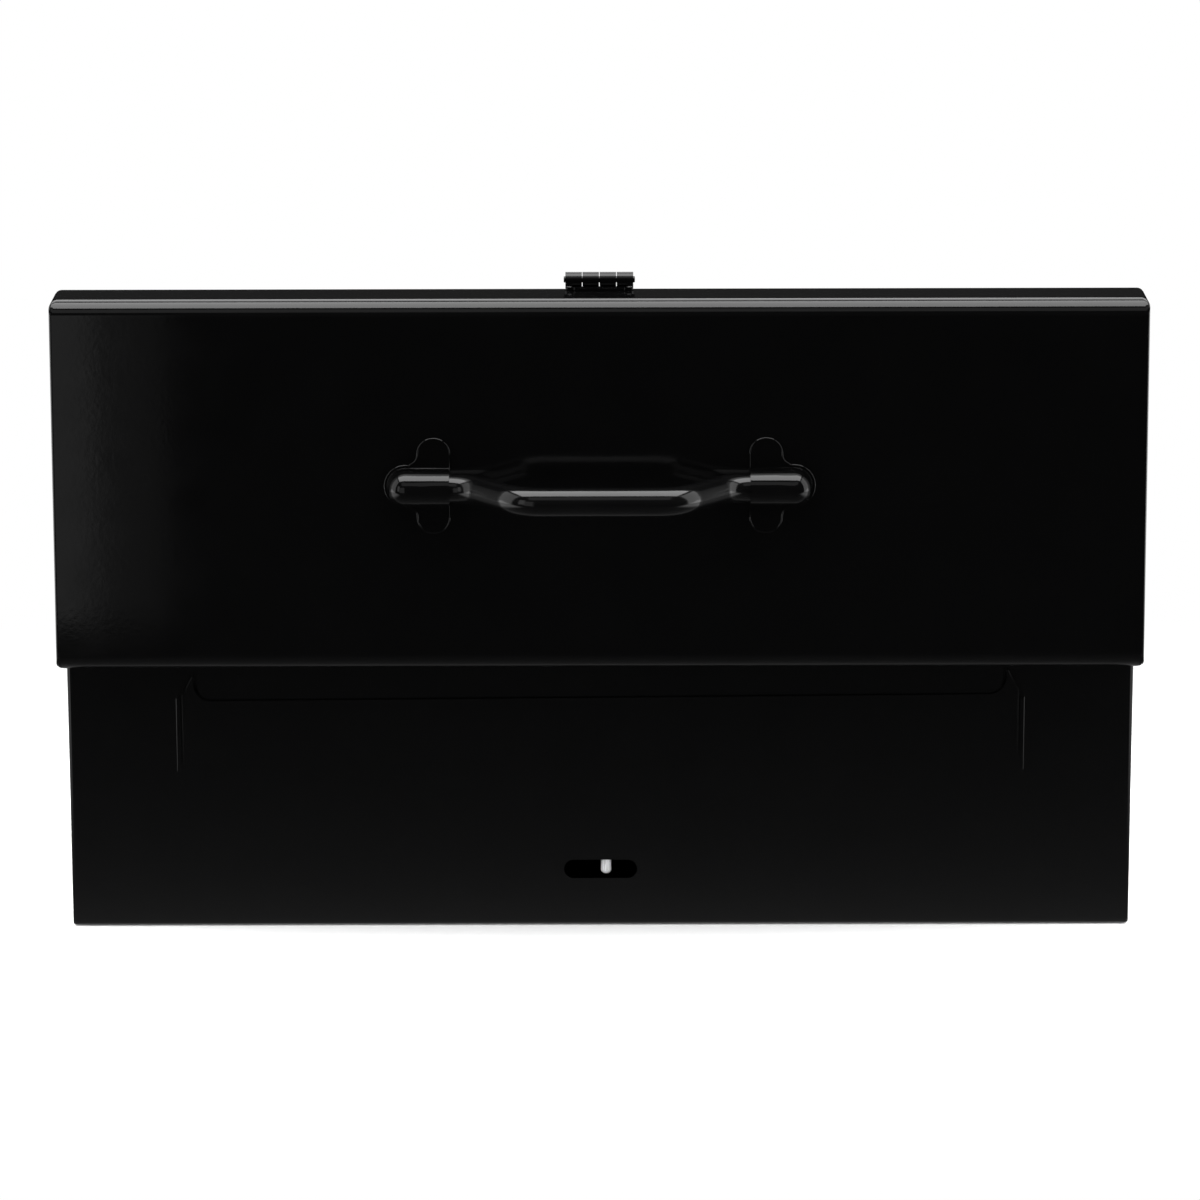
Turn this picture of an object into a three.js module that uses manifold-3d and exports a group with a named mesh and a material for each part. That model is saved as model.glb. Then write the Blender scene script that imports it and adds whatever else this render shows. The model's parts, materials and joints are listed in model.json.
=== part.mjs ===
// A steel hand toolbox with a hinged lid, a carry handle, a hasp and a lift-out tray. Millimetres, +Z up.
// The origin is the centre of the underside. The hinge side faces -Y and the hasp side faces +Y.
// The lid is drawn shut and turned open about its hinge, which is how the box stands at rest.
import * as THREE from "three";
import { mergeVertices } from "three/addons/utils/BufferGeometryUtils.js";
import Module from "manifold-3d";

const wasm = await Module();
wasm.setup();

// Driving dimensions
const BODY_WIDTH = 483;
const BODY_REAR = -82.5;
const BODY_FRONT = 81.7;
const BODY_RIM = 142;
const SHEET = 0.9;
const BOTTOM_BEND = 3;
const FLANGE_WIDTH = 10;
const GAP = 0.3;

const LID_WIDTH = 485.4;
const LID_HALF_DEPTH = 83.6;
const LID_TOP = 161.8;
const LID_EDGE = 129.8;
const LID_SHEET = 0.8;
const LID_BEND = 7.5;
const LID_OPEN = THREE.MathUtils.degToRad(87.3);

const HINGE_Y = -86;
const HINGE_Z = 127.8;
const HINGE_RADIUS = 2.4;
const HINGE_PIN = 1.1;
const HINGE_LENGTH = 371;
const HINGE_KNUCKLES = 15;
const PLATE_TILT = THREE.MathUtils.degToRad(0.4);
const PLATE_MIDDLE_Z = 99;

const HANDLE_RADIUS = 6.5;
const HANDLE_PIVOT_Z = LID_TOP + 7.3;
const HANDLE_REACH = 31;
const HANDLE_MIDDLE_Y = 0.8;
const HANDLE_CORNERS = [56.7, 34.6];
const HANDLE_BEND = 18;
const CLIP_INNER_END = 66.5;
const CLIP_DOME_X = 86.1;
const CLIP_RADIUS = 8;

const HASP_RADIUS = 3.3;
const HASP_PIN = 1.4;
const HASP_Y = 87.7;
const HASP_Z = LID_EDGE - 0.8;
const HASP_LENGTH = 30.5;
const HASP_KNUCKLES = 4;
const HASP_SHEET = 1.2;
const HASP_DROP = 37.5;
const HASP_RIVET = 0.9;

const RING_Y = 83.25;
const RING_Z = 112;
const RING_WIRE = 1.25;

const TRAY_WIDTH = 470;
const TRAY_REAR = -79.6;
const TRAY_FRONT = 78.8;
const TRAY_BOTTOM = 99.3;
const TRAY_RIM = 138;
const TRAY_SHEET = 0.8;

const SLOT_Z = 27;
const SLOT_LENGTH = 33.3;
const SLOT_HEIGHT = 8.8;
const ROD_X = 2.5;
const ROD_RADIUS = 2.4;
const ROD_Y = BODY_REAR + SHEET + GAP + ROD_RADIUS;

const ARC_STEPS = 7;
const ROUND_SIDES = 24;

const BLACK_GLOSS = { color: 0x0b0b0c, roughness: 0.18, metalness: 0.1 };
const BLACK_SATIN = { color: 0x111112, roughness: 0.35, metalness: 0.1 };
const ZINC = { color: 0xb9bcc0, roughness: 0.25, metalness: 1 };

// Outlines

// Corner points [x, y, radius] joined by lines, with an arc at each corner that has a radius.
function rounded(corners, closed = true) {
  const at = (i) => new THREE.Vector2().fromArray(corners.at(i % corners.length));
  return corners.flatMap(([x, y, radius = 0], i) => {
    const corner = new THREE.Vector2(x, y);
    const isEnd = !closed && (i === 0 || i === corners.length - 1);
    if (!radius || isEnd) return [corner];
    const before = at(i - 1).sub(corner).normalize();
    const after = at(i + 1).sub(corner).normalize();
    const half = Math.acos(before.dot(after)) / 2;
    const toCentre = before.clone().add(after).setLength(radius / Math.sin(half));
    const centre = corner.clone().add(toCentre);
    const start = corner.clone().addScaledVector(before, radius / Math.tan(half)).sub(centre);
    const side = Math.sign(before.cross(after));
    const turn = (-side * (Math.PI - 2 * half)) / ARC_STEPS;
    const origin = new THREE.Vector2();
    return Array.from({ length: ARC_STEPS + 1 }, (_, k) =>
      start.clone().rotateAround(origin, k * turn).add(centre),
    );
  });
}

// The closed outline of a bent sheet: an open path and the same path moved left by the thickness.
function sheetOutline(path, thickness) {
  const normal = (from, to) => new THREE.Vector2(from.y - to.y, to.x - from.x).normalize();
  const moved = path.map((point, i) => {
    const first = Math.max(i - 1, 0);
    const last = Math.min(i + 1, path.length - 1);
    const before = normal(path[first], path[first + 1]);
    const after = normal(path[last - 1], path[last]);
    const mitre = before.clone().add(after).normalize();
    return point.clone().addScaledVector(mitre, thickness / mitre.dot(before));
  });
  return [...path, ...moved.reverse()];
}

function circlePoints(x, y, radius, sides = ROUND_SIDES) {
  return Array.from({ length: sides }, (_, k) => {
    const angle = (2 * Math.PI * k) / sides;
    return new THREE.Vector2(x + radius * Math.cos(angle), y + radius * Math.sin(angle));
  });
}

function rectangle(x0, y0, x1, y1, radius = 0) {
  return rounded([[x0, y0, radius], [x1, y0, radius], [x1, y1, radius], [x0, y1, radius]]);
}

// Solids

function solidOf(geometry) {
  geometry.deleteAttribute("normal");
  geometry.deleteAttribute("uv");
  const merged = mergeVertices(geometry, 1e-4);
  return new wasm.Manifold(
    new wasm.Mesh({
      numProp: 3,
      vertProperties: merged.attributes.position.array,
      triVerts: new Uint32Array(merged.index.array),
    }),
  );
}

function extruded(outline, depth, directions, origin) {
  const shape = new THREE.Shape(outline);
  const geometry = new THREE.ExtrudeGeometry(shape, { depth, bevelEnabled: false });
  const [right, up, forward] = directions.map((d) => new THREE.Vector3(...d));
  const matrix = new THREE.Matrix4().makeBasis(right, up, forward).setPosition(...origin);
  return solidOf(geometry.applyMatrix4(matrix));
}

// Outlines in the plane across the named axis, made solid between two places along it.
const alongX = (yz, x0, x1) => extruded(yz, x1 - x0, [[0, 1, 0], [0, 0, 1], [1, 0, 0]], [x0, 0, 0]);
const alongY = (xz, y0, y1) => extruded(xz, y1 - y0, [[1, 0, 0], [0, 0, 1], [0, -1, 0]], [0, y1, 0]);
const alongZ = (xy, z0, z1) => extruded(xy, z1 - z0, [[1, 0, 0], [0, 1, 0], [0, 0, 1]], [0, 0, z0]);

function rodX(y, z, radius, x0, x1, sides) {
  return alongX(circlePoints(y, z, radius, sides), x0, x1);
}

function ball(x, y, z, radius) {
  return solidOf(new THREE.SphereGeometry(radius, ROUND_SIDES, 12).translate(x, y, z));
}

function joined(solids) {
  return solids.reduce((whole, next) => whole.add(next));
}

function named(name, solid, look) {
  const { vertProperties, triVerts } = solid.getMesh();
  const geometry = new THREE.BufferGeometry()
    .setAttribute("position", new THREE.BufferAttribute(vertProperties, 3))
    .setIndex(new THREE.BufferAttribute(triVerts, 1))
    .toNonIndexed();
  geometry.computeVertexNormals();
  const mesh = new THREE.Mesh(geometry, new THREE.MeshStandardMaterial(look));
  mesh.name = name;
  return mesh;
}

// A mesh and its mirror image across the middle of the box, named _right and _left.
function pair(name, solid, look) {
  const right = named(`${name}_right`, solid, look);
  const left = named(`${name}_left`, solid, look);
  left.scale.x = -1;
  return [right, left];
}

// A rivet along Y with a low domed head on each face, and the hole that it needs.
function rivet(x, z, yInner, yOuter, shank = 2) {
  const head = shank * 1.8;
  const headHeight = shank / 2;
  const low = Math.min(yInner, yOuter) - GAP / 2;
  const high = Math.max(yInner, yOuter) + GAP / 2;
  const profile = rounded([
    [0, low - headHeight],
    [head * 0.6, low - headHeight],
    [head, low],
    [shank, low],
    [shank, high],
    [head, high],
    [head * 0.6, high + headHeight],
    [0, high + headHeight],
  ]);
  return solidOf(new THREE.LatheGeometry(profile, 16).translate(x, 0, z));
}

function rivetHole(x, z, y0, y1, shank = 2) {
  return alongY(circlePoints(x, z, shank + GAP / 2, 16), y0 - 3, y1 + 3);
}

// A row of hinge knuckles along X. Every second one belongs to the same leaf.
function knuckles(y, z, radius, bore, length, count, first) {
  const pitch = length / count;
  const rings = [];
  for (let k = first; k < count; k += 2) {
    const start = -length / 2 + k * pitch;
    rings.push(rodX(y, z, radius, start + GAP / 2, start + pitch - GAP / 2));
  }
  return { rings: joined(rings), bore: rodX(y, z, bore, -length, length, 16) };
}

// Room for the other leaf's knuckles.
function knuckleRoom(y, z, radius, length, count, first) {
  const pitch = length / count;
  const rooms = [];
  for (let k = first; k < count; k += 2) {
    const start = -length / 2 + k * pitch;
    rooms.push(rodX(y, z, radius + GAP, start - GAP / 2, start + pitch + GAP / 2));
  }
  return joined(rooms);
}

// Body

function bodyShell() {
  const path = rounded(
    [
      [BODY_REAR, BODY_RIM],
      [BODY_REAR, 0, BOTTOM_BEND],
      [BODY_FRONT, 0, BOTTOM_BEND],
      [BODY_FRONT, BODY_RIM],
    ],
    false,
  );
  const half = BODY_WIDTH / 2 - SHEET - GAP / 2;
  const slot = rectangle(
    -SLOT_LENGTH / 2,
    SLOT_Z - SLOT_HEIGHT / 2,
    SLOT_LENGTH / 2,
    SLOT_Z + SLOT_HEIGHT / 2,
    SLOT_HEIGHT / 2 - 0.01,
  );
  const holes = STAPLE_RIVETS.map((x) => rivetHole(x, RING_Z, BODY_FRONT - SHEET, BODY_FRONT));
  return alongX(sheetOutline(path, SHEET), -half, half)
    .subtract(alongY(slot, BODY_REAR - 2, BODY_REAR + 3))
    .subtract(joined(holes));
}

// An end panel: a plate across the whole end and a flange that lies inside the wrapped sheet.
function bodyEnd() {
  const outer = BODY_WIDTH / 2;
  const plate = rectangle(BODY_REAR, 0, BODY_FRONT, BODY_RIM).map((p) => [p.x, p.y]);
  const plateOutline = rounded(plate.map(([y, z]) => [y, z, z === 0 ? BOTTOM_BEND : 0]));
  const inset = SHEET + GAP / 2;
  const bend = BOTTOM_BEND - inset;
  const flange = rounded(
    [
      [BODY_REAR + inset, BODY_RIM - 1],
      [BODY_REAR + inset, inset, bend],
      [BODY_FRONT - inset, inset, bend],
      [BODY_FRONT - inset, BODY_RIM - 1],
    ],
    false,
  );
  return alongX(plateOutline, outer - SHEET, outer).add(
    alongX(sheetOutline(flange, SHEET), outer - SHEET - FLANGE_WIDTH, outer - SHEET / 2),
  );
}

// The plate over the body's hinge leaf: a shallow pan, open along its scooped top.
function hingePlate() {
  const half = 189.4;
  const bottom = 78.8;
  const scoop = 109.2;
  const hornInner = 183.9;
  const outline = (inset) => {
    const side = [
      [half - inset, bottom + inset, 1],
      [half - inset, 111.2],
      [184.7 - inset * 0.4, 120.4],
      [hornInner, 120.4],
      [hornInner, scoop, 8],
    ];
    return rounded([...side, ...side.toReversed().map(([x, z, r]) => [-x, z, r])]);
  };
  const face = BODY_REAR - 2.5;
  const rim = SHEET;
  const hollow = alongY(outline(rim), face + SHEET, BODY_REAR);
  const openTop = rectangle(-hornInner + 8, 93, hornInner - 8, 124);
  const aboveScoop = alongY(openTop, face + SHEET, BODY_REAR);
  return alongY(outline(0), face, BODY_REAR - GAP / 2).subtract(hollow).subtract(aboveScoop);
}

function bodyHingeLeaf() {
  const { rings, bore } = knuckles(
    HINGE_Y, HINGE_Z, HINGE_RADIUS, HINGE_PIN + GAP, HINGE_LENGTH, HINGE_KNUCKLES, 0);
  const half = HINGE_LENGTH / 2 - 3.5;
  const plate = rectangle(-half, HINGE_Z - 28, half, HINGE_Z);
  const leaf = alongY(plate, BODY_REAR - 1.4, BODY_REAR - GAP / 2);
  const room = knuckleRoom(HINGE_Y, HINGE_Z, HINGE_RADIUS, HINGE_LENGTH, HINGE_KNUCKLES, 1);
  return leaf.subtract(room).add(rings).subtract(bore);
}

function trayLedge() {
  const outer = BODY_WIDTH / 2 - SHEET - GAP / 2;
  const path = [[outer, 84], [outer, TRAY_BOTTOM - GAP], [outer - 14, TRAY_BOTTOM - GAP]];
  const outline = sheetOutline(path.map((p) => new THREE.Vector2(...p)), 1);
  return alongY(outline, -70, 70);
}

function securityRod() {
  const bottom = SLOT_Z - 3.1;
  const top = 62;
  const tip = ROD_RADIUS - 0.3;
  const profile = rounded([[0, bottom], [ROD_RADIUS, bottom, tip], [ROD_RADIUS, top], [0, top]]);
  const rod = new THREE.LatheGeometry(profile, 20).rotateX(Math.PI / 2);
  rod.translate(ROD_X, ROD_Y, 0);
  return solidOf(rod);
}

// A strap over the rod with a welded foot on each side.
function rodBracket() {
  const wall = BODY_REAR + SHEET + GAP / 2;
  const crown = ROD_Y + ROD_RADIUS + GAP + 1;
  const foot = 12;
  const shoulder = ROD_RADIUS + GAP + 1;
  const path = rounded(
    [
      [ROD_X + foot, wall + 1],
      [ROD_X + shoulder, wall + 1, 1.2],
      [ROD_X + shoulder, crown, 2.6],
      [ROD_X - shoulder, crown, 2.6],
      [ROD_X - shoulder, wall + 1, 1.2],
      [ROD_X - foot, wall + 1],
    ],
    false,
  );
  return alongZ(sheetOutline(path, 1), 40, 56);
}

const STAPLE_RIVETS = [-11, 11];

// A saddle that holds the padlock ring's cross wire against the front wall.
function stapleBracket() {
  const wall = BODY_FRONT + GAP / 2;
  const thickness = 0.8;
  const crown = RING_Y + RING_WIRE + GAP + thickness;
  const outline = [
    [wall, RING_Z - 5],
    [wall + thickness, RING_Z - 5],
    [wall + thickness, RING_Z - 2.6],
    [crown, RING_Z - 1.2],
    [crown, RING_Z + 1.2],
    [wall + thickness, RING_Z + 2.6],
    [wall + thickness, RING_Z + 5],
    [wall, RING_Z + 5],
  ].map((p) => new THREE.Vector2(...p));
  const saddle = alongX(outline, -3.2, 3.2);
  const foot = alongY(rectangle(-15, RING_Z - 5, 15, RING_Z + 5, 2), wall, wall + thickness);
  const wireRoom = rodX(RING_Y, RING_Z, RING_WIRE + GAP, -8, 8, 16);
  const ringRoom = alongY(rectangle(-6.6, RING_Z - 6, 6.6, RING_Z + 2), wall - 1, wall + 2);
  const behindSaddle = alongX(
    [[wall - 1, -6], [wall + thickness, -6], [wall + thickness, 2], [wall - 1, 2]].map(
      ([y, z]) => new THREE.Vector2(y, RING_Z + z)),
    -6.6, 6.6);
  const holes = STAPLE_RIVETS.map((x) => rivetHole(x, RING_Z, wall, wall + thickness));
  return foot
    .subtract(ringRoom)
    .add(saddle.subtract(behindSaddle))
    .subtract(wireRoom)
    .subtract(joined(holes));
}

// Lid, drawn shut

function lidShell() {
  const path = rounded(
    [
      [LID_HALF_DEPTH, LID_EDGE],
      [LID_HALF_DEPTH, LID_TOP, LID_BEND],
      [-LID_HALF_DEPTH, LID_TOP, LID_BEND],
      [-LID_HALF_DEPTH, LID_EDGE],
    ],
    false,
  );
  const half = LID_WIDTH / 2 - LID_SHEET - GAP / 2;
  const skirt = LID_HALF_DEPTH - LID_SHEET;
  const holes = HASP_RIVETS.map((x) => rivetHole(x, HASP_RIVET_Z, skirt, LID_HALF_DEPTH, HASP_RIVET));
  return alongX(sheetOutline(path, LID_SHEET), -half, half).subtract(joined(holes));
}

function lidEnd() {
  const outer = LID_WIDTH / 2;
  const outline = rounded([
    [LID_HALF_DEPTH, LID_EDGE],
    [LID_HALF_DEPTH, LID_TOP, LID_BEND],
    [-LID_HALF_DEPTH, LID_TOP, LID_BEND],
    [-LID_HALF_DEPTH, LID_EDGE],
  ]);
  const flangeTop = LID_TOP - LID_SHEET - GAP / 2;
  const reach = LID_HALF_DEPTH - LID_BEND - 1;
  const flange = rectangle(-reach, flangeTop - LID_SHEET, reach, flangeTop);
  return alongX(outline, outer - LID_SHEET, outer).add(
    alongX(flange, outer - LID_SHEET - 8, outer - LID_SHEET / 2),
  );
}

function lidHingeLeaf() {
  const { rings, bore } = knuckles(
    HINGE_Y, HINGE_Z, HINGE_RADIUS, HINGE_PIN + GAP, HINGE_LENGTH, HINGE_KNUCKLES, 1);
  const half = HINGE_LENGTH / 2;
  const inner = -LID_HALF_DEPTH - GAP / 2;
  const leaf = alongY(rectangle(-half, HINGE_Z, half, HINGE_Z + 16), inner - 1.1, inner);
  const room = knuckleRoom(HINGE_Y, HINGE_Z, HINGE_RADIUS, HINGE_LENGTH, HINGE_KNUCKLES, 0);
  return leaf.subtract(room).add(rings).subtract(bore);
}

function hingePin() {
  return rodX(HINGE_Y, HINGE_Z, HINGE_PIN, -HINGE_LENGTH / 2 - 0.8, HINGE_LENGTH / 2 + 0.8, 16);
}

// The round-ended tunnel that the handle's end turns in, as a solid of the given radius.
function clipTunnel(radius, foot, innerEnd) {
  const arch = rounded([
    [-radius, foot],
    [radius, foot],
    [radius, HANDLE_PIVOT_Z + radius, radius - 0.01],
    [-radius, HANDLE_PIVOT_Z + radius, radius - 0.01],
  ]);
  const post = alongZ(circlePoints(CLIP_DOME_X, 0, radius), foot, HANDLE_PIVOT_Z);
  const dome = ball(CLIP_DOME_X, 0, HANDLE_PIVOT_Z, radius);
  return alongX(arch, innerEnd, CLIP_DOME_X).add(post).add(dome);
}

// A pressed clip: the tunnel, a narrow rim round it and a rounded wing on each side.
function handleClip() {
  const base = LID_TOP + GAP / 2;
  const thickness = 1;
  const wingTip = 21.3;
  const half = [
    [CLIP_INNER_END, wingTip, 7],
    [80.8, wingTip, 7],
    [80.8, 11.5, 4],
    [84.6, 9.2, 2],
  ];
  const outline = rounded([...half, ...half.toReversed().map(([x, y, r]) => [x, -y, r])]);
  const wings = alongZ(outline, base, base + thickness);
  const rim = alongZ(circlePoints(CLIP_DOME_X, 0, CLIP_RADIUS + 1.2), base, base + thickness);
  const tunnel = clipTunnel(CLIP_RADIUS, base, CLIP_INNER_END);
  const inside = clipTunnel(HANDLE_RADIUS + GAP + 0.1, base - 2, CLIP_INNER_END - 2);
  const belowLid = alongZ(rectangle(40, -30, 110, 30), base - 20, base);
  return wings.add(rim).add(tunnel).subtract(inside).subtract(belowLid);
}

const HASP_RIVETS = [-13.3, 13.3];
const HASP_RIVET_Z = LID_EDGE + 3.8;

function haspFixedLeaf() {
  const { rings, bore } = knuckles(
    HASP_Y, HASP_Z, HASP_RADIUS, HASP_PIN + GAP, HASP_LENGTH, HASP_KNUCKLES, 0);
  const half = HASP_LENGTH / 2 - GAP / 2;
  const inner = LID_HALF_DEPTH + GAP / 2;
  const lug = LID_EDGE + 5.6;
  const side = [[half, LID_EDGE + 0.1], [half, lug, 1.2], [11.4, lug], [11.4, LID_EDGE + 6.6, 0.5]];
  const outline = rounded([...side, ...side.toReversed().map(([x, z, r]) => [-x, z, r])]);
  const room = knuckleRoom(HASP_Y, HASP_Z, HASP_RADIUS, HASP_LENGTH, HASP_KNUCKLES, 1);
  const outer = inner + HASP_SHEET;
  const holes = HASP_RIVETS.map((x) => rivetHole(x, HASP_RIVET_Z, inner, outer, HASP_RIVET));
  return alongY(outline, inner, outer)
    .subtract(room)
    .add(rings)
    .subtract(bore)
    .subtract(joined(holes));
}

function haspPin() {
  return rodX(HASP_Y, HASP_Z, HASP_PIN, -HASP_LENGTH / 2 - 0.6, HASP_LENGTH / 2 + 0.6, 16);
}

// The swinging leaf as it lies with the lid shut, with the window that the padlock ring comes through.
function haspLeaf() {
  const { rings, bore } = knuckles(
    HASP_Y, HASP_Z, HASP_RADIUS, HASP_PIN + GAP, HASP_LENGTH, HASP_KNUCKLES, 1);
  const half = HASP_LENGTH / 2 - GAP / 2;
  const bottom = HASP_Z - HASP_DROP;
  const outline = rounded([
    [-half, HASP_Z],
    [-half, HASP_Z - 12, 4],
    [-12, bottom, 6],
    [12, bottom, 6],
    [half, HASP_Z - 12, 4],
    [half, HASP_Z],
  ]);
  const room = knuckleRoom(HASP_Y, HASP_Z, HASP_RADIUS, HASP_LENGTH, HASP_KNUCKLES, 0);
  const window = rectangle(-7.5, RING_Z - 15, 7.5, RING_Z + 3, 2);
  return alongY(outline, HASP_Y - HASP_SHEET / 2, HASP_Y + HASP_SHEET / 2)
    .subtract(room)
    .add(rings)
    .subtract(bore)
    .subtract(alongY(window, HASP_Y - 3, HASP_Y + 3));
}

// A closed loop of round wire, with its top wire on the pivot.
function stapleRing() {
  const half = 6 - RING_WIRE;
  const drop = 11;
  const outline = (grow) =>
    rectangle(-half - grow, RING_Z - drop - grow, half + grow, RING_Z + grow, 2.4 + grow);
  const reach = RING_WIRE * Math.cos(Math.PI / 8);
  const low = RING_WIRE * Math.sin(Math.PI / 8);
  const layer = (grow, depth) =>
    alongY(outline(grow), RING_Y - depth, RING_Y + depth).subtract(
      alongY(outline(-grow), RING_Y - depth - 1, RING_Y + depth + 1),
    );
  return layer(reach, low).add(layer(low, reach)).add(layer(RING_WIRE * 0.75, RING_WIRE * 0.75));
}

// Carry handle, standing up from its pivot line, which is the X axis

function carryHandle() {
  const [low, high] = HANDLE_CORNERS;
  const end = CLIP_DOME_X - 1;
  const corners = [
    [-end, 0],
    [-low, 0, HANDLE_BEND],
    [-high, HANDLE_REACH, HANDLE_BEND],
    [high, HANDLE_REACH, HANDLE_BEND],
    [low, 0, HANDLE_BEND],
    [end, 0],
  ];
  const points = rounded(corners, false).map((p) => new THREE.Vector3(p.x, 0, p.y));
  const path = new THREE.CurvePath();
  points.slice(1).forEach((point, i) => path.add(new THREE.LineCurve3(points[i], point)));
  const section = new THREE.Shape(circlePoints(0, 0, HANDLE_RADIUS, 20));
  return solidOf(new THREE.ExtrudeGeometry(section, { steps: 56, extrudePath: path }));
}

// Tray

function trayPan() {
  const path = rounded(
    [
      [TRAY_REAR, TRAY_RIM],
      [TRAY_REAR, TRAY_BOTTOM, 4],
      [TRAY_FRONT, TRAY_BOTTOM, 4],
      [TRAY_FRONT, TRAY_RIM],
    ],
    false,
  );
  const half = TRAY_WIDTH / 2 - TRAY_SHEET - GAP / 2;
  const holes = TRAY_RIVETS_Z.flatMap((z) => [
    rivetHole(0, z, TRAY_REAR, TRAY_REAR + TRAY_SHEET),
    rivetHole(0, z, TRAY_FRONT - TRAY_SHEET, TRAY_FRONT),
  ]);
  return alongX(sheetOutline(path, TRAY_SHEET), -half, half).subtract(joined(holes));
}

function trayEnd() {
  const outer = TRAY_WIDTH / 2;
  const inset = TRAY_SHEET + GAP / 2;
  const plate = rounded([
    [TRAY_REAR, TRAY_RIM],
    [TRAY_REAR, TRAY_BOTTOM, 4],
    [TRAY_FRONT, TRAY_BOTTOM, 4],
    [TRAY_FRONT, TRAY_RIM],
  ]);
  const flange = rounded(
    [
      [TRAY_REAR + inset, TRAY_RIM - 1],
      [TRAY_REAR + inset, TRAY_BOTTOM + inset, 4 - inset],
      [TRAY_FRONT - inset, TRAY_BOTTOM + inset, 4 - inset],
      [TRAY_FRONT - inset, TRAY_RIM - 1],
    ],
    false,
  );
  return alongX(plate, outer - TRAY_SHEET, outer).add(
    alongX(sheetOutline(flange, TRAY_SHEET), outer - TRAY_SHEET - 8, outer - TRAY_SHEET / 2),
  );
}

const TRAY_RIVETS_Z = [114, 122];
const STRAP_SHEET = 1.2;
const STRAP_TOP = 142.6;

// A strap from the tray's rear wall, over the middle, to its front wall.
function trayHandle() {
  const rear = TRAY_REAR + TRAY_SHEET + GAP / 2;
  const front = TRAY_FRONT - TRAY_SHEET - GAP / 2;
  const path = rounded(
    [
      [front, 110],
      [front, 130, 6],
      [front - 9, STRAP_TOP, 8],
      [rear + 9, STRAP_TOP, 8],
      [rear, 130, 6],
      [rear, 110],
    ],
    false,
  );
  const holes = TRAY_RIVETS_Z.flatMap((z) => [
    rivetHole(0, z, rear, rear + STRAP_SHEET),
    rivetHole(0, z, front - STRAP_SHEET, front),
  ]);
  return alongX(sheetOutline(path, STRAP_SHEET), -9, 9).subtract(joined(holes));
}

function trayRivets() {
  const inner = TRAY_SHEET + GAP / 2 + STRAP_SHEET;
  return TRAY_RIVETS_Z.flatMap((z, i) => [
    named(`tray_rivet_rear_${i + 1}`, rivet(0, z, TRAY_REAR, TRAY_REAR + inner), ZINC),
    named(`tray_rivet_front_${i + 1}`, rivet(0, z, TRAY_FRONT - inner, TRAY_FRONT), ZINC),
  ]);
}

// Assembly

function bodyGroup() {
  const staples = STAPLE_RIVETS.map((x) =>
    rivet(x, RING_Z, BODY_FRONT - SHEET, BODY_FRONT + GAP / 2 + 0.8));
  return new THREE.Group().add(
    named("body_shell", bodyShell(), BLACK_GLOSS),
    ...pair("end_panel", bodyEnd(), BLACK_GLOSS),
    platePlaced(),
    named("body_hinge_leaf", bodyHingeLeaf(), BLACK_GLOSS),
    named("hinge_pin", hingePin(), ZINC),
    ...pair("tray_ledge", trayLedge(), BLACK_SATIN),
    named("security_rod", securityRod(), ZINC),
    named("rod_bracket", rodBracket(), BLACK_SATIN),
    named("staple_bracket", stapleBracket(), BLACK_GLOSS),
    named("staple_rivet_left", staples[0], ZINC),
    named("staple_rivet_right", staples[1], ZINC),
    named("staple_ring", stapleRing(), ZINC),
  );
}

// The plate is welded on a little out of level, its right end higher.
function platePlaced() {
  const plate = named("hinge_plate", hingePlate(), BLACK_GLOSS);
  plate.rotation.y = -PLATE_TILT;
  plate.position.x = PLATE_MIDDLE_Z * Math.sin(PLATE_TILT);
  plate.position.z = PLATE_MIDDLE_Z * (1 - Math.cos(PLATE_TILT));
  return plate;
}

function handleGroup() {
  const group = new THREE.Group().add(named("carry_handle", carryHandle(), BLACK_GLOSS));
  group.position.set(0, HANDLE_MIDDLE_Y, HANDLE_PIVOT_Z);
  return group;
}

// With the lid open, the leaf hangs straight down by its own weight.
function haspGroup() {
  const leaf = named("hasp_leaf", haspLeaf(), BLACK_GLOSS);
  leaf.position.set(0, -HASP_Y, -HASP_Z);
  const hanging = new THREE.Group().add(leaf);
  hanging.position.set(0, HASP_Y, HASP_Z);
  hanging.rotation.x = -LID_OPEN;
  return hanging;
}

function lidGroup() {
  const outerFace = LID_HALF_DEPTH + GAP / 2 + HASP_SHEET;
  const innerFace = LID_HALF_DEPTH - LID_SHEET;
  const rivets = HASP_RIVETS.map((x) => rivet(x, HASP_RIVET_Z, innerFace, outerFace, HASP_RIVET));
  const shut = new THREE.Group().add(
    named("lid_shell", lidShell(), BLACK_GLOSS),
    ...pair("lid_end", lidEnd(), BLACK_GLOSS),
    named("lid_hinge_leaf", lidHingeLeaf(), BLACK_GLOSS),
    ...pair("handle_clip", handleClip().translate(0, HANDLE_MIDDLE_Y, 0), BLACK_GLOSS),
    named("hasp_fixed_leaf", haspFixedLeaf(), BLACK_GLOSS),
    named("hasp_pin", haspPin(), BLACK_GLOSS),
    named("hasp_rivet_left", rivets[0], BLACK_GLOSS),
    named("hasp_rivet_right", rivets[1], BLACK_GLOSS),
    haspGroup(),
    handleGroup(),
  );
  shut.position.set(0, -HINGE_Y, -HINGE_Z);
  const opened = new THREE.Group().add(shut);
  opened.position.set(0, HINGE_Y, HINGE_Z);
  opened.rotation.x = LID_OPEN;
  return opened;
}

function trayGroup() {
  return new THREE.Group().add(
    named("tray_pan", trayPan(), BLACK_GLOSS),
    ...pair("tray_end", trayEnd(), BLACK_GLOSS),
    named("tray_handle", trayHandle(), BLACK_GLOSS),
    ...trayRivets(),
  );
}

export default new THREE.Group().add(bodyGroup(), lidGroup(), trayGroup());
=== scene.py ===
"""A black steel hand toolbox with its lid open: its finished pieces, their enamel and a pale studio."""

import json
import math

import bpy
from mathutils import Matrix, Vector

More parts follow.
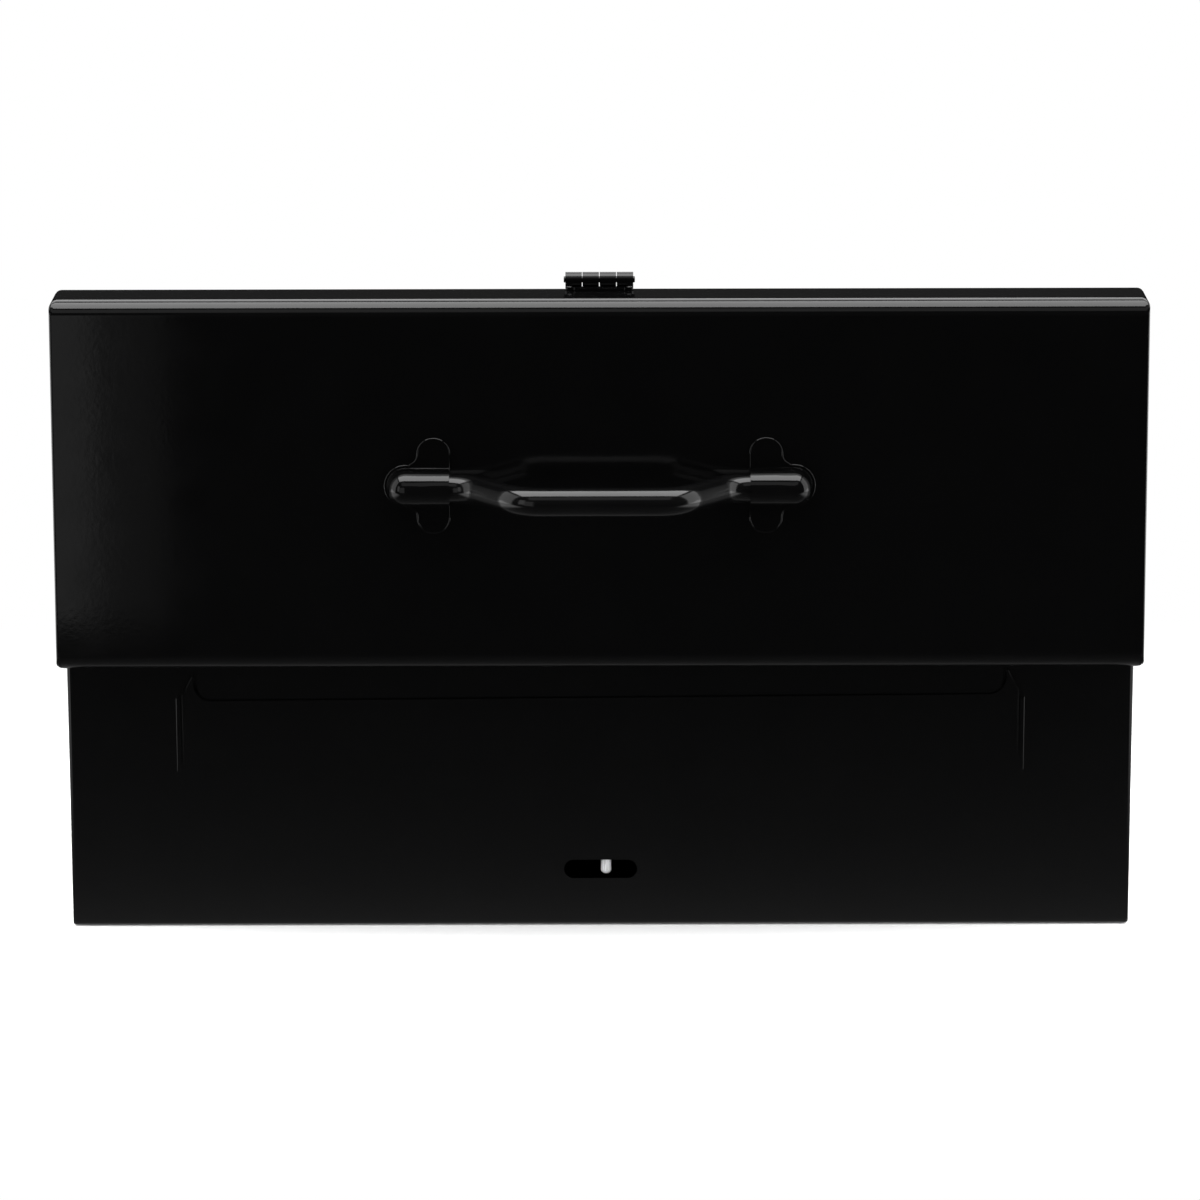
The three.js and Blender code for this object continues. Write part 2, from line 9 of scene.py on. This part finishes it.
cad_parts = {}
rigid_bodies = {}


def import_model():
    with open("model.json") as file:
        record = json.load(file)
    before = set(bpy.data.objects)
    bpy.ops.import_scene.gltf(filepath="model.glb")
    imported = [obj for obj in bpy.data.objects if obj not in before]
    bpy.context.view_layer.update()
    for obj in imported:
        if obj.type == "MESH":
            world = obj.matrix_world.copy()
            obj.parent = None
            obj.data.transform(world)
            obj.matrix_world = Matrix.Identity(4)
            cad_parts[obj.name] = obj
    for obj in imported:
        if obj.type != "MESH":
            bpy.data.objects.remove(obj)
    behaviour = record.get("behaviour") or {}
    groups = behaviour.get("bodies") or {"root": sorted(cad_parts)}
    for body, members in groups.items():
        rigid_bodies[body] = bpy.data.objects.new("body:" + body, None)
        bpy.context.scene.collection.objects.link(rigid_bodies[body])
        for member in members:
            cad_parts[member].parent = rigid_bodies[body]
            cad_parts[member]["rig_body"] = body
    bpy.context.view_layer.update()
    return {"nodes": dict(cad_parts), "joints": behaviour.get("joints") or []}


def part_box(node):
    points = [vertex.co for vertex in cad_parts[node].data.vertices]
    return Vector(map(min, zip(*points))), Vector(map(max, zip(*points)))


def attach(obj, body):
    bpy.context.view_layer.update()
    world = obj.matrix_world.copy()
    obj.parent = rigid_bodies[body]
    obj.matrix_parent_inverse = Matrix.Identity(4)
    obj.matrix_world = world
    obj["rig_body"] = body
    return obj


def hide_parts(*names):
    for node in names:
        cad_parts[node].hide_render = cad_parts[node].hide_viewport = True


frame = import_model()

MM = 0.001
SHEET = 0.9 * MM
LID_SHEET = 0.8 * MM
LID_HALF_DEPTH = 83.6 * MM
LID_EDGE_Z = 129.8 * MM
LID_TOP_Z = 161.8 * MM
SEAM = 0.25 * MM
SEAM_FROM_END = 0.8 * MM
BOTTOM_BEND = 3 * MM
LID_BEND = 7.5 * MM
END_BEND = 1.4 * MM

SLOT_LENGTH = 33.3 * MM
SLOT_HEIGHT = 8.8 * MM
SLOT_Z = 27 * MM

WELD_MARKS_X = (-134.6, -88, 0, 87.5, 134)
WELD_MARK_RADIUS = 1.1 * MM
WELD_MARK_Z = 103 * MM
RIB_X = 191.2 * MM
RIB_Z = 91.4 * MM
RIB_HALF = (1.2 * MM, 0.5 * MM, 17.4 * MM)

HANDLE_RADIUS = 6.5 * MM
HANDLE_ABOVE_LID = 7.3 * MM
HANDLE_MIDDLE_Y = 0.8 * MM
HANDLE_END = 85.1
HANDLE_CORNERS = (56.7, 34.6)
HANDLE_REACH = 31
HANDLE_BEND = 18
WING_ABOVE_LID = 1.15 * MM

# Places taken from the frame

joints = {joint["name"]: joint for joint in frame["joints"]}


def pivot(name):
    return Vector(joints[name]["pos_m"])


def turned(point, degrees):
    """The turn about the X line through a point."""
    turn = Matrix.Rotation(math.radians(degrees), 4, "X")
    return Matrix.Translation(point) @ turn @ Matrix.Translation(-point)


# The lid's pieces are made shut, flat on the body, and then turned open about the hinge.
OPEN_ANGLE = -joints["lid_hinge"]["range_deg"][0]
OPEN = turned(pivot("lid_hinge"), OPEN_ANGLE)

body_low, body_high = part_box("body_shell")
body_low.x, body_high.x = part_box("end_panel_left")[0].x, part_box("end_panel_right")[1].x
lid_half_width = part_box("lid_end_right")[1].x
lid_low = Vector((-lid_half_width, -LID_HALF_DEPTH, LID_EDGE_Z))
lid_high = Vector((lid_half_width, LID_HALF_DEPTH, LID_TOP_Z))
slot_centre = Vector((0, body_low.y, SLOT_Z))


# Working helpers


def clear_selection():
    active = bpy.context.view_layer.objects.active
    if active and active.mode != "OBJECT":
        bpy.ops.object.mode_set(mode="OBJECT")
    bpy.ops.object.select_all(action="DESELECT")


def take(piece):
    """Makes a piece the only selected one."""
    clear_selection()
    piece.hide_viewport = False
    piece.select_set(True)
    bpy.context.view_layer.objects.active = piece


def settle(name):
    """Names the new primitive and moves its place into its mesh."""
    piece = bpy.context.object
    piece.name = piece.data.name = name
    bpy.ops.object.transform_apply(location=True, rotation=True, scale=True)
    return piece


def start_box(name, low, high):
    clear_selection()
    bpy.ops.mesh.primitive_cube_add(size=1, location=(low + high) / 2)
    bpy.context.object.scale = high - low
    return settle(name)


def start_rod(name, centre, radius, length, axis="X", sides=48):
    clear_selection()
    turn = {"X": (0, math.pi / 2, 0), "Y": (math.pi / 2, 0, 0), "Z": (0, 0, 0)}[axis]
    bpy.ops.mesh.primitive_cylinder_add(
        vertices=sides, radius=radius, depth=length, location=centre, rotation=turn
    )
    return settle(name)


def start_ball(name, centre, radius):
    clear_selection()
    bpy.ops.mesh.primitive_uv_sphere_add(segments=48, ring_count=24, radius=radius, location=centre)
    return settle(name)


def edit(piece, kind, test):
    """Edit mode with only the verts, edges or faces that pass the test selected."""
    take(piece)
    bpy.ops.object.mode_set(mode="EDIT")
    bpy.ops.mesh.select_mode(type=kind)
    bpy.ops.mesh.select_all(action="DESELECT")
    bpy.ops.object.mode_set(mode="OBJECT")
    mesh = piece.data
    elements = {"VERT": mesh.vertices, "EDGE": mesh.edges, "FACE": mesh.polygons}[kind]
    for element in elements:
        element.select = test(mesh, element)
    bpy.ops.object.mode_set(mode="EDIT")


def done_editing():
    bpy.ops.object.mode_set(mode="OBJECT")


def modify(piece, kind, **settings):
    """Adds a modifier and applies it."""
    take(piece)
    modifier = piece.modifiers.new(kind.title(), kind)
    for name, value in settings.items():
        setattr(modifier, name, value)
    bpy.ops.object.modifier_apply(modifier=modifier.name)


def soften(piece, width, segments=2, angle=35):
    """A small round on every sharp edge."""
    modify(
        piece, "BEVEL", width=width, segments=segments, limit_method="ANGLE",
        angle_limit=math.radians(angle), use_clamp_overlap=True, miter_outer="MITER_ARC",
    )


def smooth(piece, angle=40):
    """Smooth shading that leaves wide flat faces flat."""
    take(piece)
    bpy.ops.object.shade_smooth_by_angle(angle=math.radians(angle))
    modify(piece, "WEIGHTED_NORMAL", keep_sharp=True, weight=90)


def move(piece, matrix):
    piece.data.transform(matrix)
    piece.data.update()


def within(piece, low, high):
    """Brings any point that a bend's corner pushed out back to the box's faces."""
    for vertex in piece.data.vertices:
        for axis in range(3):
            vertex.co[axis] = min(max(vertex.co[axis], low[axis]), high[axis])


def copied(piece, name):
    twin = piece.copy()
    twin.data = piece.data.copy()
    twin.name = twin.data.name = name
    bpy.context.scene.collection.objects.link(twin)
    return twin


def join(pieces):
    take(pieces[0])
    for piece in pieces[1:]:
        piece.select_set(True)
    bpy.ops.object.join()
    return pieces[0]


def cut(piece, tool, operation="DIFFERENCE"):
    """Takes the tool's shape out of the piece, or adds it, and removes the tool."""
    modify(piece, "BOOLEAN", object=tool, operation=operation, solver="EXACT")
    bpy.data.objects.remove(tool)


def keep_side(piece, x, side):
    """Cuts a piece across at x and keeps what lies beyond it on one side, closed with a flat face."""
    edit(piece, "FACE", lambda mesh, face: True)
    bpy.ops.mesh.bisect(
        plane_co=(x, 0, 0), plane_no=(1, 0, 0), use_fill=True,
        clear_inner=side > 0, clear_outer=side < 0,
    )
    done_editing()


def place(piece, body, slot, finish, *nodes):
    """Gives a finished piece its enamel or plating, its body and the nodes that it stands for."""
    piece.data.materials.clear()
    piece.data.materials.append(finish)
    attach(piece, body)
    if nodes:
        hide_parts(*nodes)
    return piece


# Finishes


def new_finish(name):
    finish = bpy.data.materials.new(name)
    finish.use_nodes = True
    return finish, finish.node_tree.nodes, finish.node_tree.links


def noise(nodes, links, scale, detail=3.0, stretch=(1, 1, 1)):
    where = nodes.new("ShaderNodeTexCoord")
    mapping = nodes.new("ShaderNodeMapping")
    mapping.inputs["Scale"].default_value = stretch
    pattern = nodes.new("ShaderNodeTexNoise")
    pattern.inputs["Scale"].default_value = scale
    pattern.inputs["Detail"].default_value = detail
    links.new(where.outputs["Object"], mapping.inputs["Vector"])
    links.new(mapping.outputs["Vector"], pattern.inputs["Vector"])
    return pattern.outputs["Fac"]


def spread(nodes, links, value, low, high):
    """A noise value between 0.3 and 0.7 spread between two numbers."""
    scale = nodes.new("ShaderNodeMapRange")
    scale.inputs["From Min"].default_value = 0.3
    scale.inputs["From Max"].default_value = 0.7
    scale.inputs["To Min"].default_value = low
    scale.inputs["To Max"].default_value = high
    links.new(value, scale.inputs["Value"])
    return scale.outputs["Result"]


def bump(nodes, links, height, distance, strength=1.0):
    relief = nodes.new("ShaderNodeBump")
    relief.inputs["Distance"].default_value = distance
    relief.inputs["Strength"].default_value = strength
    links.new(height, relief.inputs["Height"])
    return relief.outputs["Normal"]


def enamel(name, tone, rough_low, rough_high, gloss, peel):
    """Stoved black enamel: a faint orange peel, patchy gloss and a slight drift of tone."""
    finish, nodes, links = new_finish(name)
    shader = nodes["Principled BSDF"]
    shader.inputs["Specular IOR Level"].default_value = gloss
    shader.inputs["Metallic"].default_value = 0.0
    drift = nodes.new("ShaderNodeMix")
    drift.data_type = "RGBA"
    drift.inputs["A"].default_value = (tone * 0.8, tone * 0.8, tone * 0.84, 1)
    drift.inputs["B"].default_value = (tone * 1.25, tone * 1.25, tone * 1.28, 1)
    links.new(noise(nodes, links, 35), drift.inputs["Factor"])
    links.new(drift.outputs["Result"], shader.inputs["Base Color"])
    patches = noise(nodes, links, 60, 5)
    links.new(spread(nodes, links, patches, rough_low, rough_high), shader.inputs["Roughness"])
    links.new(bump(nodes, links, noise(nodes, links, 420, 2), peel), shader.inputs["Normal"])
    return finish


def plated(name, colour, rough_low, rough_high, metallic=1.0):
    """Bright zinc plate, with fine lengthwise lines and a faint cloudiness."""
    finish, nodes, links = new_finish(name)
    shader = nodes["Principled BSDF"]
    shader.inputs["Metallic"].default_value = metallic
    cloud = nodes.new("ShaderNodeMix")
    cloud.data_type = "RGBA"
    cloud.inputs["A"].default_value = (*[c * 0.82 for c in colour], 1)
    cloud.inputs["B"].default_value = (*colour, 1)
    links.new(noise(nodes, links, 300), cloud.inputs["Factor"])
    links.new(cloud.outputs["Result"], shader.inputs["Base Color"])
    lines = noise(nodes, links, 900, 2, (1, 1, 0.08))
    links.new(spread(nodes, links, lines, rough_low, rough_high), shader.inputs["Roughness"])
    links.new(bump(nodes, links, lines, 0.00001), shader.inputs["Normal"])
    return finish


BLACK = enamel("black_enamel", 0.0011, 0.06, 0.11, 0.32, 0.000012)
HANDLE_BLACK = enamel("handle_enamel", 0.0016, 0.1, 0.16, 0.36, 0.00001)
INNER_BLACK = enamel("inner_enamel", 0.006, 0.28, 0.4, 0.35, 0.00001)
ZINC = plated("zinc_plate", (0.72, 0.73, 0.75), 0.16, 0.28)
BRIGHT = plated("bright_rod", (0.82, 0.83, 0.84), 0.24, 0.34, 0.45)


# Pressed shells


def pressed_tub(name, low, high, mouth, long_bend, corner_bend, end_bend, sheet):
    """A box of thin sheet with one open side, up or down, and rounded edges of three sizes."""
    piece = start_box(name, low, high)
    mouth_z = high.z if mouth == "up" else low.z
    closed_z = low.z if mouth == "up" else high.z
    near = 0.1 * MM
    edit(piece, "FACE", lambda mesh, face: abs(face.center.z - mouth_z) < near)
    bpy.ops.mesh.delete(type="ONLY_FACE")
    done_editing()
    weights = piece.data.attributes.new("bevel_weight_edge", "FLOAT", "EDGE")
    for edge in piece.data.edges:
        a, b = (piece.data.vertices[v].co for v in edge.vertices)
        direction = (b - a).normalized()
        on_closed = abs((a.z + b.z) / 2 - closed_z) < near
        if abs(direction.z) > 0.9:
            weight = corner_bend
        elif on_closed:
            weight = long_bend if abs(direction.x) > 0.9 else end_bend
        else:
            weight = 0
        weights.data[edge.index].value = weight / long_bend
    modify(
        piece, "BEVEL", width=long_bend, segments=10, limit_method="WEIGHT",
        use_clamp_overlap=False, miter_outer="MITER_SHARP", profile=0.5,
    )
    modify(piece, "SOLIDIFY", thickness=sheet, offset=-1, use_even_offset=True)
    return piece


def split_ends(piece, name, x):
    """Cuts the two end panels off a tub, leaving a fine seam, and returns them, left then right."""
    ends = []
    for side, word in ((-1, "left"), (1, "right")):
        end = copied(piece, f"{name}_{word}")
        keep_side(end, side * (x + SEAM / 2), side)
        ends.append(end)
    keep_side(piece, x - SEAM / 2, -1)
    keep_side(piece, -x + SEAM / 2, 1)
    return ends


def slot_tool():
    """A round-ended block that cuts the slot through the rear wall."""
    reach = (SLOT_LENGTH - SLOT_HEIGHT) / 2
    depth = 8 * MM
    half = Vector((reach, depth / 2, SLOT_HEIGHT / 2))
    slot = start_box("slot_tool", slot_centre - half, slot_centre + half)
    for side in (-1, 1):
        centre = slot_centre + Vector((side * reach, 0, 0))
        end = start_rod("slot_end", centre, SLOT_HEIGHT / 2, depth, "Y", 64)
        cut(slot, end, "UNION")
    return slot


def build_body():
    """The body: a wrap of one sheet with the slot in it, and an end panel on each side."""
    tub = pressed_tub("body_wrap", body_low, body_high, "up", BOTTOM_BEND, 1.6 * MM, END_BEND, SHEET)
    cut(tub, slot_tool())
    ends = split_ends(tub, "body_end", body_high.x - SEAM_FROM_END)
    for piece in (tub, *ends):
        soften(piece, 0.3 * MM)
        within(piece, body_low, body_high)
        smooth(piece)
    place(tub, "body", "black_enamel", BLACK, "body_shell")
    place(ends[0], "body", "black_enamel", BLACK, "end_panel_left")
    place(ends[1], "body", "black_enamel", BLACK, "end_panel_right")


def build_lid():
    """The lid: a wrap with wide bends along the box and small ones across it, made shut and opened."""
    tub = pressed_tub("lid_cover", lid_low, lid_high, "down", LID_BEND, 3.4 * MM, END_BEND, LID_SHEET)
    ends = split_ends(tub, "lid_side", lid_high.x - SEAM_FROM_END)
    for piece in (tub, *ends):
        soften(piece, 0.2 * MM)
        within(piece, lid_low, lid_high)
        move(piece, OPEN)
        smooth(piece)
    place(tub, "lid", "black_enamel", BLACK, "lid_shell")
    place(ends[0], "lid", "black_enamel", BLACK, "lid_end_left")
    place(ends[1], "lid", "black_enamel", BLACK, "lid_end_right")


# Pieces whose CAD shape is right: a copy, merged and with its edges rounded


def clean_copy(node):
    """A node's own shape as a new piece, merged, with its flat faces in one."""
    piece = copied(frame["nodes"][node], f"{node}_finished")
    for key in list(piece.keys()):
        del piece[key]
    piece.parent = None
    piece.hide_render = piece.hide_viewport = False
    edit(piece, "VERT", lambda mesh, vertex: True)
    bpy.ops.mesh.remove_doubles(threshold=0.002 * MM)
    bpy.ops.mesh.dissolve_limited(angle_limit=math.radians(0.5))
    done_editing()
    return piece


def refined(node, edge, slot, finish, angle=30):
    """A merged copy of a node, with a round of the given millimetres on its edges."""
    piece = clean_copy(node)
    if edge:
        soften(piece, edge * MM, 2, angle)
    smooth(piece, angle)
    return place(piece, frame["nodes"][node]["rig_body"], slot, finish, node)


def build_small_parts():
    refined("security_rod", 0, "zinc_plate", BRIGHT, 50)
    for node in (
        "body_hinge_leaf", "lid_hinge_leaf", "staple_bracket", "hasp_fixed_leaf", "hasp_leaf",
    ):
        refined(node, 0.2, "black_enamel", BLACK)
    for node in ("hasp_pin", "hasp_rivet_left", "hasp_rivet_right"):
        refined(node, 0.25, "black_enamel", BLACK)
    for node in ("tray_pan", "tray_end_left", "tray_end_right", "tray_handle"):
        refined(node, 0.2, "black_enamel", BLACK)
    for node in ("tray_ledge_left", "tray_ledge_right", "rod_bracket"):
        refined(node, 0.2, "inner_black", INNER_BLACK)
    rivets = [f"tray_rivet_{side}_{k}" for side in ("rear", "front") for k in (1, 2)]
    for node in ("hinge_pin", "staple_rivet_left", "staple_rivet_right", "staple_ring", *rivets):
        refined(node, 0.2, "zinc_plate", ZINC)


def build_hinge_plate():
    """The cover plate, its faint weld marks, and the slim raised rib that stands beside each end."""
    refined("hinge_plate", 0.6, "black_enamel", BLACK)
    plate_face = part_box("hinge_plate")[0].y
    flattened = Matrix.Diagonal((1, 0.12, 1, 1))
    marks = []
    for k, x in enumerate(WELD_MARKS_X):
        mark = start_ball(f"weld_mark_{k}", Vector((0, 0, 0)), WELD_MARK_RADIUS)
        move(mark, Matrix.Translation((x * MM, plate_face + 0.06 * MM, WELD_MARK_Z)) @ flattened)
        smooth(mark)
        marks.append(mark)
    place(join(marks), "body", "black_enamel", BLACK)
    ribs = []
    for side in (-1, 1):
        centre = Vector((side * RIB_X, body_low.y, RIB_Z))
        rib = start_box("wall_rib", centre - Vector(RIB_HALF), centre + Vector(RIB_HALF))
        soften(rib, 0.4 * MM, 3)
        smooth(rib)
        ribs.append(rib)
    place(join(ribs), "body", "black_enamel", BLACK)


def rounded_path(corners, steps=16):
    """A line of points in which each corner given with a radius becomes an arc."""
    points = []
    for k, (x, z, radius) in enumerate(corners):
        corner = Vector((x, z))
        if not radius:
            points.append(corner)
            continue
        back = (Vector(corners[k - 1][:2]) - corner).normalized()
        on = (Vector(corners[k + 1][:2]) - corner).normalized()
        half_angle = back.angle(on) / 2
        middle = corner + (back + on).normalized() * radius / math.sin(half_angle)
        start = corner + back * radius / math.tan(half_angle) - middle
        sweep = start.angle_signed(corner + on * radius / math.tan(half_angle) - middle)
        for step in range(steps + 1):
            points.append(middle + Matrix.Rotation(-sweep * step / steps, 2) @ start)
    return points


def build_handle():
    """The round bar, swept along its path: an end in each clip, two slanting legs and the grip."""
    foot, grip = HANDLE_CORNERS
    path = rounded_path([
        (-HANDLE_END, 0, 0),
        (-foot, 0, HANDLE_BEND),
        (-grip, HANDLE_REACH, HANDLE_BEND),
        (grip, HANDLE_REACH, HANDLE_BEND),
        (foot, 0, HANDLE_BEND),
        (HANDLE_END, 0, 0),
    ])
    clear_selection()
    bpy.ops.curve.primitive_nurbs_path_add()
    bar = bpy.context.object
    bar.name = bar.data.name = "handle_bar"
    bar.data.splines.clear()
    line = bar.data.splines.new("POLY")
    line.points.add(len(path) - 1)
    for point, place_at in zip(line.points, path):
        point.co = (place_at.x * MM, 0, place_at.y * MM, 1)
    bar.data.bevel_depth = HANDLE_RADIUS
    bar.data.bevel_resolution = 14
    bar.data.use_fill_caps = True
    bpy.ops.object.convert(target="MESH")
    edit(bar, "VERT", lambda mesh, vertex: True)
    bpy.ops.mesh.remove_doubles(threshold=0.002 * MM)
    bpy.ops.mesh.normals_make_consistent(inside=False)
    done_editing()
    soften(bar, 0.6 * MM, 3, 60)
    move(bar, OPEN @ Matrix.Translation((0, HANDLE_MIDDLE_Y, lid_high.z + HANDLE_ABOVE_LID)))
    within(bar, *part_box("carry_handle"))
    smooth(bar, 50)
    place(bar, "handle", "handle_black", HANDLE_BLACK, "carry_handle")


def at_height(mesh, edge, z):
    return all(abs(mesh.vertices[v].co.z - z) < 0.05 * MM for v in edge.vertices)


def outline_bead(clip, wing_top):
    """The fine raised bead along the outer edge of a clip's flat wings and rim."""
    beside_rim = set()
    for face in clip.data.polygons:
        if face.center.z < wing_top - 0.1 * MM:
            beside_rim.update(face.edge_keys)
    edit(clip, "EDGE", lambda mesh, edge: edge.key in beside_rim and at_height(mesh, edge, wing_top))
    bpy.ops.mesh.duplicate()
    bpy.ops.mesh.separate(type="SELECTED")
    done_editing()
    bead = next(piece for piece in bpy.context.selected_objects if piece != clip)
    bead.name = bead.data.name = "wing_bead"
    take(bead)
    bpy.ops.object.convert(target="CURVE")
    bead.data.dimensions = "3D"
    bead.data.bevel_depth = 0.42 * MM
    bead.data.bevel_resolution = 3
    bead.data.use_fill_caps = True
    bpy.ops.object.convert(target="MESH")
    move(bead, Matrix.Translation((0, 0, -0.05 * MM)))
    return bead


def build_clips():
    """The clips, with the outline of their wings rolled over and beaded."""
    shut = OPEN.inverted()
    wing_top = lid_high.z + WING_ABOVE_LID
    for side in ("left", "right"):
        node = f"handle_clip_{side}"
        clip = clean_copy(node)
        move(clip, shut)
        bead = outline_bead(clip, wing_top)
        edit(clip, "EDGE", lambda mesh, edge: at_height(mesh, edge, wing_top))
        bpy.ops.mesh.bevel(offset=0.8 * MM, segments=5, profile=0.5, clamp_overlap=True)
        done_editing()
        soften(clip, 0.25 * MM, 2, 50)
        join([clip, bead])
        move(clip, OPEN)
        smooth(clip, 50)
        place(clip, "lid", "black_enamel", BLACK, node)


# Studio


def build_camera():
    """A long lens behind the box, looking down on it by a little over 15 degrees."""
    clear_selection()
    rotation = [math.radians(degrees) for degrees in (90 - 15.261, 0.12, -0.0327)]
    bpy.ops.object.camera_add(location=(0, -2.7046, 0.8697), rotation=rotation)
    camera = bpy.context.object
    camera.data.sensor_width = 36
    camera.data.lens = 180.72
    camera.data.clip_end = 100
    bpy.context.scene.camera = camera


def soft_box(name, place_at, aim_at, width, height, radiance):
    """A rectangular light whose face has the given brightness."""
    clear_selection()
    bpy.ops.object.light_add(type="AREA", location=place_at)
    light = bpy.context.object
    light.name = name
    light.data.shape = "RECTANGLE"
    light.data.size, light.data.size_y = width, height
    light.data.energy = radiance * math.pi * width * height
    light.rotation_mode = "QUATERNION"
    light.rotation_quaternion = (Vector(aim_at) - Vector(place_at)).to_track_quat("-Z", "Y")


def math_node(nodes, links, operation, a, b):
    node = nodes.new("ShaderNodeMath")
    node.operation = operation
    for socket, value in zip(node.inputs, (a, b)):
        if isinstance(value, (int, float)):
            socket.default_value = value
        else:
            links.new(value, socket)
    return node.outputs["Value"]


def faded(nodes, links, value, start, end):
    """A soft step from 0 to 1 as the value goes from start to end."""
    step = nodes.new("ShaderNodeMapRange")
    step.interpolation_type = "SMOOTHSTEP"
    step.inputs["From Min"].default_value = start
    step.inputs["From Max"].default_value = end
    links.new(value, step.inputs["Value"])
    return step.outputs["Result"]


def build_floor():
    """White ground that glows only in the enamel's reflections, as a painted reflection that is bright
    close to the box and dies away from it, with a painted glow towards the sides.
    """
    clear_selection()
    bpy.ops.mesh.primitive_plane_add(size=60, location=(0, 0, -0.0002))
    floor = settle("floor")
    finish, nodes, links = new_finish("floor_white")
    shader = nodes["Principled BSDF"]
    shader.inputs["Base Color"].default_value = (0.96, 0.96, 0.96, 1)
    shader.inputs["Roughness"].default_value = 0.9
    shader.inputs["Specular IOR Level"].default_value = 0.1
    where = nodes.new("ShaderNodeTexCoord")
    split = nodes.new("ShaderNodeSeparateXYZ")
    links.new(where.outputs["Object"], split.inputs["Vector"])
    away = 0.001
    out_x = math_node(nodes, links, "ABSOLUTE", split.outputs["X"], 0)
    out_y = math_node(nodes, links, "ABSOLUTE", split.outputs["Y"], 0)
    for out, half in ((out_x, 0.2415), (out_y, 0.0825)):
        beyond = math_node(nodes, links, "SUBTRACT", out, half)
        away = math_node(nodes, links, "MAXIMUM", away, beyond)
    fall = math_node(nodes, links, "POWER", math_node(nodes, links, "DIVIDE", away, 0.07), 1.1)
    strength = math_node(nodes, links, "DIVIDE", 0.36, math_node(nodes, links, "ADD", fall, 1.0))
    # Painted glow in the reflections, towards the box's ends.
    sides = faded(nodes, links, out_x, 0.27, 0.5)
    middle = faded(nodes, links, out_y, 0.6, 0.4)
    side_glow = math_node(nodes, links, "MULTIPLY", sides, middle)
    side_glow = math_node(nodes, links, "MULTIPLY", side_glow, 1.8)
    strength = math_node(nodes, links, "ADD", strength, side_glow)
    # Emission seen only by glossy rays: a painted reflection of bright ground, not a lamp.
    painted_reflection_glow = nodes.new("ShaderNodeEmission")
    links.new(strength, painted_reflection_glow.inputs["Strength"])
    far_ground = nodes.new("ShaderNodeEmission")
    seen = nodes.new("ShaderNodeMixShader")
    links.new(faded(nodes, links, away, 0.0, 0.35), seen.inputs["Fac"])
    links.new(shader.outputs["BSDF"], seen.inputs[1])
    links.new(far_ground.outputs["Emission"], seen.inputs[2])
    ray = nodes.new("ShaderNodeLightPath")
    mix = nodes.new("ShaderNodeMixShader")
    links.new(ray.outputs["Is Glossy Ray"], mix.inputs["Fac"])
    links.new(seen.outputs["Shader"], mix.inputs[1])
    links.new(painted_reflection_glow.outputs["Emission"], mix.inputs[2])
    links.new(mix.outputs["Shader"], nodes["Material Output"].inputs["Surface"])
    floor.data.materials.append(finish)


def build_world():
    """White all round, but nearly dark in the enamel's reflections."""
    world = bpy.data.worlds.new("studio")
    bpy.context.scene.world = world
    world.use_nodes = True
    nodes, links = world.node_tree.nodes, world.node_tree.links
    ray = nodes.new("ShaderNodeLightPath")
    seen = nodes["Background"]
    seen.inputs["Color"].default_value = (1, 1, 1, 1)
    seen.inputs["Strength"].default_value = 1.0
    dark = nodes.new("ShaderNodeBackground")
    dark.inputs["Color"].default_value = (1, 1, 1, 1)
    dark.inputs["Strength"].default_value = 0.03
    mix = nodes.new("ShaderNodeMixShader")
    links.new(ray.outputs["Is Glossy Ray"], mix.inputs["Fac"])
    links.new(seen.outputs["Background"], mix.inputs[1])
    links.new(dark.outputs["Background"], mix.inputs[2])
    links.new(mix.outputs["Shader"], nodes["World Output"].inputs["Surface"])


def build_lights():
    """A large overhead box, dimmer ones all round, and a faint glow on the lid's left side."""
    soft_box("overhead", (0, -0.14, 1.9), (0, -0.14, 0.15), 2.4, 1.53, 6.5)
    soft_box("front_top", (0, -1.6, 1.7), (0, 0, 0.2), 2.0, 0.8, 0.5)
    soft_box("behind", (0, 1.6, 1.75), (0, 0, 0.2), 2.4, 1.2, 3)
    soft_box("right", (0.75, 0.1, 0.5), (0, 0.1, 0.4), 1.2, 0.95, 2.2)
    soft_box("left", (-0.75, 0.1, 0.5), (0, 0.1, 0.4), 1.2, 0.95, 1.6)
    soft_box("left_front", (-1.5, -1.7, 0.6), (0, 0, 0.15), 0.5, 1.2, 1.1)
    soft_box("left_glow", (-0.44, -0.9, 0.26), (-0.3, 0, 0.22), 0.3, 0.5, 0.38)
    soft_box("left_glow_edge", (-0.397, -0.89, 0.26), (-0.26, 0, 0.22), 0.3, 0.5, 0.14)


build_camera()
build_body()
build_lid()
build_hinge_plate()
build_handle()
build_clips()
build_small_parts()
build_floor()
build_world()
build_lights()
bpy.context.scene.view_settings.view_transform = "Standard"
